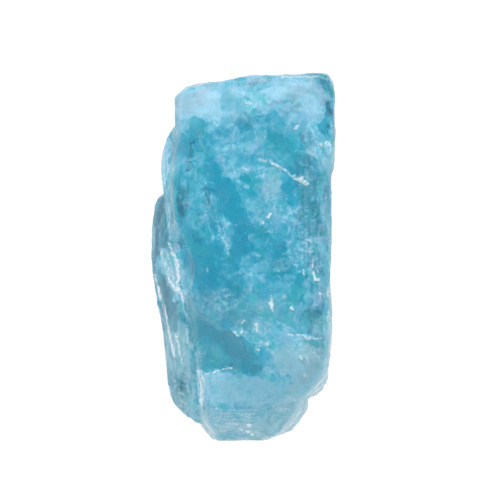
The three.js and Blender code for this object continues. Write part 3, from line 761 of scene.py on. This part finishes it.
def in_millimetres(tree, per_mm, turn=0.0):
    """The stone's own coordinates, times `per_mm` along x, y and z."""
    mapping = add(tree, "ShaderNodeMapping")
    own = add(tree, "ShaderNodeTexCoord").outputs["Object"]
    scale = tuple(s / MM for s in per_mm)
    fill(tree, mapping, {"Vector": own, "Scale": scale, "Rotation": (0, 0, turn)})
    return mapping.outputs["Vector"]


def cloud(tree, per_mm, detail, roughness, distortion=0.0, turn=0.0, output="Fac"):
    """Soft noise with `per_mm` bumps to the millimetre along x, y and z."""
    node = add(tree, "ShaderNodeTexNoise")
    fill(tree, node, {"Vector": in_millimetres(tree, per_mm, turn), "Scale": 1.0, "Detail": detail})
    fill(tree, node, {"Roughness": roughness, "Distortion": distortion})
    return node.outputs[output]


def unsteady(tree, per_mm, reach, turn=0.0):
    """The stone's coordinates in millimetres, pushed about so that straight rims turn ragged."""
    shift = add(tree, "ShaderNodeVectorMath", operation="SCALE")
    fill(tree, shift, {0: cloud(tree, (1.1, 1.1, 1.1), 3, 0.6, output="Color"), "Scale": reach})
    place = add(tree, "ShaderNodeVectorMath", operation="ADD")
    fill(tree, place, {0: in_millimetres(tree, per_mm, turn), 1: shift.outputs[0]})
    return place.outputs[0]


def mosaic(tree, per_mm, reach, size):
    """A patchwork of blocky cells, each with its own number from 0 to 1."""
    cells = add(tree, "ShaderNodeTexVoronoi", feature="SMOOTH_F1", distance="CHEBYCHEV")
    place = unsteady(tree, per_mm, reach)
    fill(tree, cells, {"Vector": place, "Scale": 1 / size, "Smoothness": SOFT_BORDER})
    split = add(tree, "ShaderNodeSeparateColor")
    connect(tree, cells.outputs["Color"], split.inputs["Color"])
    return split.outputs[0]


def crack_net(tree, per_mm, reach, size, width, turn):
    """Thin, broken lines where cells meet: 1 on a line and 0 off it."""
    cells = add(tree, "ShaderNodeTexVoronoi", feature="DISTANCE_TO_EDGE")
    fill(tree, cells, {"Vector": unsteady(tree, per_mm, reach, turn), "Scale": 1 / size})
    lines = ranged(tree, cells.outputs["Distance"], 0.0, width / size, 1.0, 0.0)
    unbroken = ranged(tree, cloud(tree, (0.9, 0.9, 0.9), 3, 0.6, turn=turn), 0.46, 0.6)
    return math_node(tree, "MULTIPLY", lines, unbroken)


print("helpers for clouds, mosaics and crack nets are ready")

# %% [markdown]
# ## An empty body
# One Principled shader does the surface and the clearness, because its transmission bends light as a real
# crystal does. Apatite bends light by 1.63. The masks come in through Attribute nodes, one for each name.

# %% A new material and its masks
APATITE_IOR = 1.63

body = bpy.data.materials.new("clear_and_milky_apatite")
body.use_nodes = True
tree = body.node_tree
tree.nodes.clear()
output = add(tree, "ShaderNodeOutputMaterial")
shader = add(tree, "ShaderNodeBsdfPrincipled")
connect(tree, shader.outputs["BSDF"], output.inputs["Surface"])
shader.inputs["IOR"].default_value = APATITE_IOR

mask = {}
for name in MASK_NAMES + ("ridge",):
    mask[name] = add(tree, "ShaderNodeAttribute", attribute_name=name).outputs["Fac"]
print("masks in the material:", ", ".join(mask))

# %% [markdown]
# ## How deep the colour is
# One number steers both colour and clearness: 0 is all milk and 1 is the deepest clear blue. It starts from
# a middle value, and the strokes push it up or down. The patterns then add their shares, each centred on 0,
# so that they stir the tone without shifting it: broad mottling, fibres along the stone, fibres across it,
# blocks, and small grains. Ridges are a little milkier than creases, partly as bruising and partly as a
# painted highlight, and creases are a little deeper in colour as painted shade. Healed cracks are pale
# lines, fresh steps are dark ones, and growth lines are added only where the streaked mask allows them. On
# calm faces the patterns, cracks and steps are damped.

# %% Depth of colour
MIDDLE_DEPTH = 0.48
STROKE_DEPTH = 0.42
CALM_DAMPING = 0.65
RIDGE_SPAN = 0.25
RIDGE_BRUISE_AND_SHADE_DEPTH = 0.08
HEALED_DEPTH = -0.22
STEP_DEPTH = 0.16
GROWTH_DEPTH = 1.9

mottle = cloud(tree, (0.55, 0.48, 0.55), 4, 0.5)
fibres = cloud(tree, (2.6, 0.9, 1.4), 3, 0.5, 0.3)
cross = cloud(tree, (0.9, 2.6, 1.4), 3, 0.5, 0.3, 0.35)
flecks = cloud(tree, (1.9, 1.9, 1.9), 3, 0.5)
patches = mosaic(tree, (1, 0.7, 1), 0.25, 1.2)
grains = mosaic(tree, (1, 0.7, 1), 0.15, 0.5)
pattern_shares = ((mottle, 0.2), (fibres, 0.22), (cross, 0.19), (patches, 0.17), (grains, 0.18))

clear_over_milky = math_node(tree, "SUBTRACT", mask["clear"], mask["milky"])
depth = math_node(tree, "MULTIPLY_ADD", clear_over_milky, STROKE_DEPTH, MIDDLE_DEPTH)
liveliness = math_node(tree, "MULTIPLY_ADD", mask["calm"], -CALM_DAMPING, 1.0)
stir = 0.0
for pattern, share in pattern_shares:
    centred = math_node(tree, "SUBTRACT", pattern, 0.5)
    stir = math_node(tree, "MULTIPLY_ADD", centred, share, stir)
depth = math_node(tree, "MULTIPLY_ADD", stir, liveliness, depth)
# painted light: creases deeper in colour as shade, ridges milkier as bruising and as a painted highlight
ridge_bruise_and_shade = ranged(tree, mask["ridge"], -RIDGE_SPAN, RIDGE_SPAN, RIDGE_BRUISE_AND_SHADE_DEPTH, -RIDGE_BRUISE_AND_SHADE_DEPTH)
depth = math_node(tree, "ADD", depth, ridge_bruise_and_shade)

healed_cracks = crack_net(tree, (1, 0.6, 1), 0.5, 1.1, 0.14, 0.3)
healed_cracks = math_node(tree, "MULTIPLY", healed_cracks, liveliness)
depth = math_node(tree, "MULTIPLY_ADD", healed_cracks, HEALED_DEPTH, depth)
fresh_steps = crack_net(tree, (0.7, 1, 1), 0.5, 0.9, 0.13, 0.9)
fresh_steps = math_node(tree, "MULTIPLY", fresh_steps, liveliness)
depth = math_node(tree, "MULTIPLY_ADD", fresh_steps, STEP_DEPTH, depth)

growth_lines = math_node(tree, "SUBTRACT", cloud(tree, (3.2, 0.35, 1.2), 3, 0.55, turn=-0.2), 0.5)
growth_lines = math_node(tree, "MULTIPLY", growth_lines, mask["streaked"])
depth = math_node(tree, "MULTIPLY_ADD", growth_lines, GROWTH_DEPTH, depth)
print("patterns stir the depth by up to", round(sum(share for _, share in pattern_shares) / 2, 2))

# %% [markdown]
# ## From milk to deep blue
# A colour ramp turns the depth into a colour. Its four stops are the tones that a maker would mix for this
# stone: a milky blue, a sky blue, a strong teal and a deep sea blue. Tints then go over it. Slate is
# painted shade: it darkens the shaded places and, more faintly, the steep faces along the rims. Two soft
# noises shift the hue, one towards lavender in the milky parts and one towards turquoise, because a stone
# of one hue looks like dyed glass. Calm faces get less of both. The grey and green strokes come last.

# %% Colour
MILK = (0.43, 0.78, 0.98, 1)
SKY = (0.12, 0.59, 0.79, 1)
TEAL = (0.002, 0.53, 0.73, 1)
DEEP = (0.0, 0.42, 0.62, 1)
SLATE = (0.03, 0.265, 0.36, 1)
ASH = (0.30, 0.56, 0.62, 1)
TURQUOISE = (0.01, 0.56, 0.60, 1)
LAVENDER = (0.32, 0.58, 0.86, 1)
SHADE_SHARE = 0.72
RIM_PAINTED_SHADE_SHARE = 0.1
LAVENDER_SHARE = 0.65
TURQUOISE_SHARE = 0.6
ASHEN_SHARE = 0.62
GREEN_SHARE = 0.6

ramp = add(tree, "ShaderNodeValToRGB")
ramp.color_ramp.elements[0].color = MILK
ramp.color_ramp.elements[0].position = 0.05
ramp.color_ramp.elements[1].color = DEEP
for place, colour in ((0.4, SKY), (0.72, TEAL)):
    ramp.color_ramp.elements.new(place).color = colour
connect(tree, depth, ramp.inputs["Fac"])

hue = add(tree, "ShaderNodeSeparateColor")
connect(tree, cloud(tree, (0.8, 0.7, 0.8), 3, 0.55, output="Color"), hue.inputs["Color"])
milkiness = math_node(tree, "MULTIPLY", ranged(tree, depth, 0.2, 0.75, 1.0, 0.1), liveliness)
lavender = ranged(tree, hue.outputs[0], 0.46, 0.64, 0.0, LAVENDER_SHARE)
turquoise = ranged(tree, hue.outputs[1], 0.5, 0.64, 0.0, TURQUOISE_SHARE)

tints = (
    (mask["shade"], SHADE_SHARE, SLATE),
    # painted shade: slate darkens the steep faces along the rims
    (mask["rim"], RIM_PAINTED_SHADE_SHARE, SLATE),
    (lavender, milkiness, LAVENDER),
    (turquoise, liveliness, TURQUOISE),
    (mask["ashen"], ASHEN_SHARE, ASH),
    (mask["green"], GREEN_SHARE, TURQUOISE),
)
colour = ramp.outputs["Color"]
for where, share, tint in tints:
    colour = tinted(tree, math_node(tree, "MULTIPLY", where, share), colour, tint)
print("stops:", len(ramp.color_ramp.elements), "tints:", len(tints))

# %% [markdown]
# ## Veils, painted sparkles and white marks
# Milky crystal is full of tiny bright dashes, each one a fracture. Among them are specks, which are painted
# sparkles where a fracture would face the eye and throw back the light. They come from the fibres and
# flecks where those peak, and only where the stone is milky and not calm. The white strokes go over them,
# real white scars and painted glints alike. A fine noise breaks each stroke up, because a healed crack is a
# row of small bright scars and never an even line.

# %% Dashes, specks and white marks
VEIL_AND_GLINT = (0.86, 0.95, 1.0, 1)
DASH_SHARE = 0.3
SPECK_SHARE = 0.28
WHITE_SHARE = 0.92

dashes = math_node(tree, "MAXIMUM", ranged(tree, fibres, 0.58, 0.72), ranged(tree, cross, 0.6, 0.74))
dashes = math_node(tree, "MULTIPLY", math_node(tree, "MULTIPLY", dashes, DASH_SHARE), milkiness)
# painted sparkle: bright specks where a tiny fracture would throw light back to the eye
specks = math_node(tree, "MULTIPLY", ranged(tree, flecks, 0.6, 0.76, 0.0, SPECK_SHARE), milkiness)
shards = cloud(tree, (4.0, 4.0, 4.0), 2, 0.5)
# painted highlights: the white mask carries the glints, sparkles and edge lights as well as the real white
# scars
scars_and_glints = math_node(tree, "MULTIPLY", mask["white"], ranged(tree, shards, 0.35, 0.6, 0.45, 1.15))
white = ranged(tree, scars_and_glints, 0.1, 1.0, 0.0, WHITE_SHARE)
veils_and_glints = (dashes, specks, white)
for share in veils_and_glints:
    colour = tinted(tree, share, colour, VEIL_AND_GLINT)
connect(tree, colour, shader.inputs["Base Color"])
print("veils over the colour:", len(veils_and_glints))

# %% [markdown]
# ## Clearness and gloss
# Clear crystal lets light through and milky crystal throws it back, so the share of transmission follows
# the depth. White scars and the painted glints among the white strokes are opaque. A fresh break is glassy
# and an etched one is satin, so the roughness changes from block to block. A very slight bump adds the
# finest grain, too small for the mesh.

# %% Clearness, roughness and fine grain
CLEARNESS = (0.35, 0.8)
SCAR_AND_GLINT_OPACITY = 0.8
ROUGHNESS = (0.14, 0.34)
FINE_GRAIN = 0.03 * MM
FINE_GRAIN_STRENGTH = 0.15

clarity = ranged(tree, depth, 0.1, 0.9, *CLEARNESS)
open_share = math_node(tree, "SUBTRACT", 1.0, math_node(tree, "MULTIPLY", white, SCAR_AND_GLINT_OPACITY))
connect(tree, math_node(tree, "MULTIPLY", clarity, open_share), shader.inputs["Transmission Weight"])
connect(tree, ranged(tree, patches, 0.2, 0.8, *ROUGHNESS), shader.inputs["Roughness"])

bump = add(tree, "ShaderNodeBump")
bump.inputs["Strength"].default_value = FINE_GRAIN_STRENGTH
bump.inputs["Distance"].default_value = FINE_GRAIN
connect(tree, flecks, bump.inputs["Height"])
connect(tree, bump.outputs["Normal"], shader.inputs["Normal"])
print("clearness from milk to clear:", CLEARNESS, "roughness from glassy to satin:", ROUGHNESS)

# %% [markdown]
# ## Colour inside
# A thick part of a blue crystal is a stronger blue than a thin one, because the body itself soaks up red
# light along the way. A volume that absorbs does this, with a plain colour and a plain density. At a
# density of 110, light loses about half its red over 8 mm.

# %% Absorption inside the stone
INSIDE = (0.22, 0.80, 0.88, 1)
DENSITY = 110
SAMPLE_PATH = 8 * MM

absorb = add(tree, "ShaderNodeVolumeAbsorption")
absorb.inputs["Color"].default_value = INSIDE
absorb.inputs["Density"].default_value = DENSITY
connect(tree, absorb.outputs["Volume"], output.inputs["Volume"])
red_left = math.exp(-DENSITY * (1 - INSIDE[0]) * SAMPLE_PATH)
print("red light left after", SAMPLE_PATH / MM, "mm:", round(red_left, 2))

# %% [markdown]
# ## The finished stone
# The stone is one piece. It takes the place of the plain solid and rides on the part's only body.

# %% Hand over the stone
stone.data.materials.clear()
stone.data.materials.append(body)

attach(stone, "root")
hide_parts("apatite_crystal")
print("finished piece:", stone.name)

# %% [markdown]
# ## Floor
# A stone like this is best seen on plain white. A lit white floor would turn grey in places, so most of its
# brightness is its own glow, and a dull grey under it catches just enough shadow to seat the stone. It lies
# a tenth of a millimetre below the stone, so that the two faces don't flicker.

# %% A white floor
FLOOR_REACH = 1.0
FLOOR_DROP = 0.1 * MM
FLOOR_GLOW = 0.92
FLOOR_GREY = (0.2, 0.2, 0.2, 1)

floor_bm = bmesh.new()
bmesh.ops.create_grid(floor_bm, x_segments=1, y_segments=1, size=FLOOR_REACH)
bmesh.ops.translate(floor_bm, vec=(0, 0, -FLOOR_DROP), verts=floor_bm.verts)
floor = placed("floor", bpy.data.meshes.new("floor"))
floor_bm.to_mesh(floor.data)
floor_bm.free()

paper = bpy.data.materials.new("white_paper")
paper.use_nodes = True
paper_shader = paper.node_tree.nodes["Principled BSDF"]
paper_shader.inputs["Base Color"].default_value = FLOOR_GREY
paper_shader.inputs["Roughness"].default_value = 0.9
paper_shader.inputs["Specular IOR Level"].default_value = 0.0
paper_shader.inputs["Emission Color"].default_value = (1, 1, 1, 1)
paper_shader.inputs["Emission Strength"].default_value = FLOOR_GLOW
floor.data.materials.append(paper)
print("floor at", -FLOOR_DROP / MM, "mm")

# %% [markdown]
# ## Light
# Soft light from all round shows a clear stone best, because hard lamps burn white spots into its facets.
# The room is white, and dimmer straight overhead, so that faces turned up don't wash out. A large softbox
# past the upper end gives the relief a gentle slope of light, and a small lamp adds a few sparks.

# %% A white room
WALL_LIGHT = 0.85
OVERHEAD_LIGHT = 0.5

world = bpy.data.worlds.new("white_room")
scene.world = world
world.use_nodes = True
sky = world.node_tree
direction = add(sky, "ShaderNodeSeparateXYZ")
connect(sky, add(sky, "ShaderNodeTexCoord").outputs["Generated"], direction.inputs[0])
brightness = ranged(sky, direction.outputs["Z"], 0.7, 0.97, WALL_LIGHT, OVERHEAD_LIGHT)
sky.nodes["Background"].inputs["Color"].default_value = (1, 1, 1, 1)
connect(sky, brightness, sky.nodes["Background"].inputs["Strength"])
print("room light at the walls:", WALL_LIGHT, "and overhead:", OVERHEAD_LIGHT)


# %% Two lamps
def softbox(name, place, size, power):
    """A square lamp that faces the stone."""
    light = bpy.data.lights.new(name, "AREA")
    light.shape = "RECTANGLE"
    light.size, light.size_y = size
    light.energy = power
    lamp = placed(name, light)
    lamp.location = place
    lamp.rotation_euler = (-Vector(place)).to_track_quat("-Z", "Y").to_euler()
    print(name, "at", [round(v / MM) for v in place], "mm,", power, "W")


softbox("key_softbox", (0.02, 0.36, 0.36), (0.5, 0.5), 1.2)
softbox("small_lamp", (-0.25, 0.05, 0.45), (0.05, 0.05), 0.04)

# %% [markdown]
# ## Camera
# The stone is seen from straight above, as it lies. A long lens far away keeps its sides upright. The lens
# is worked out from the width that the picture should show, by similar triangles.

# %% A camera straight above
SENSOR_WIDTH = 36
FRAME_WIDTH = 50.0 * MM
AIM = Vector((0.75, 0.75, 6.5)) * MM
CAMERA_HEIGHT = 0.6

camera = bpy.data.cameras.new("camera")
camera.sensor_width = SENSOR_WIDTH
camera.lens = SENSOR_WIDTH * CAMERA_HEIGHT / FRAME_WIDTH
camera.clip_start = 0.01
eye = placed("camera", camera)
eye.location = AIM + Vector((0, 0, CAMERA_HEIGHT))
scene.camera = eye
print("lens:", round(camera.lens), "mm")

# %% [markdown]
# ## Tone and light paths
# The standard view transform keeps the blues as mixed. Light bounces many times inside a clear stone before
# it comes out, and each bounce that is cut off would leave a dark speck.

# %% Tone and bounces
BOUNCES = 24

scene.view_settings.view_transform = "Standard"
scene.cycles.use_denoising = True
scene.cycles.max_bounces = BOUNCES
scene.cycles.transmission_bounces = BOUNCES
print("bounces:", BOUNCES)
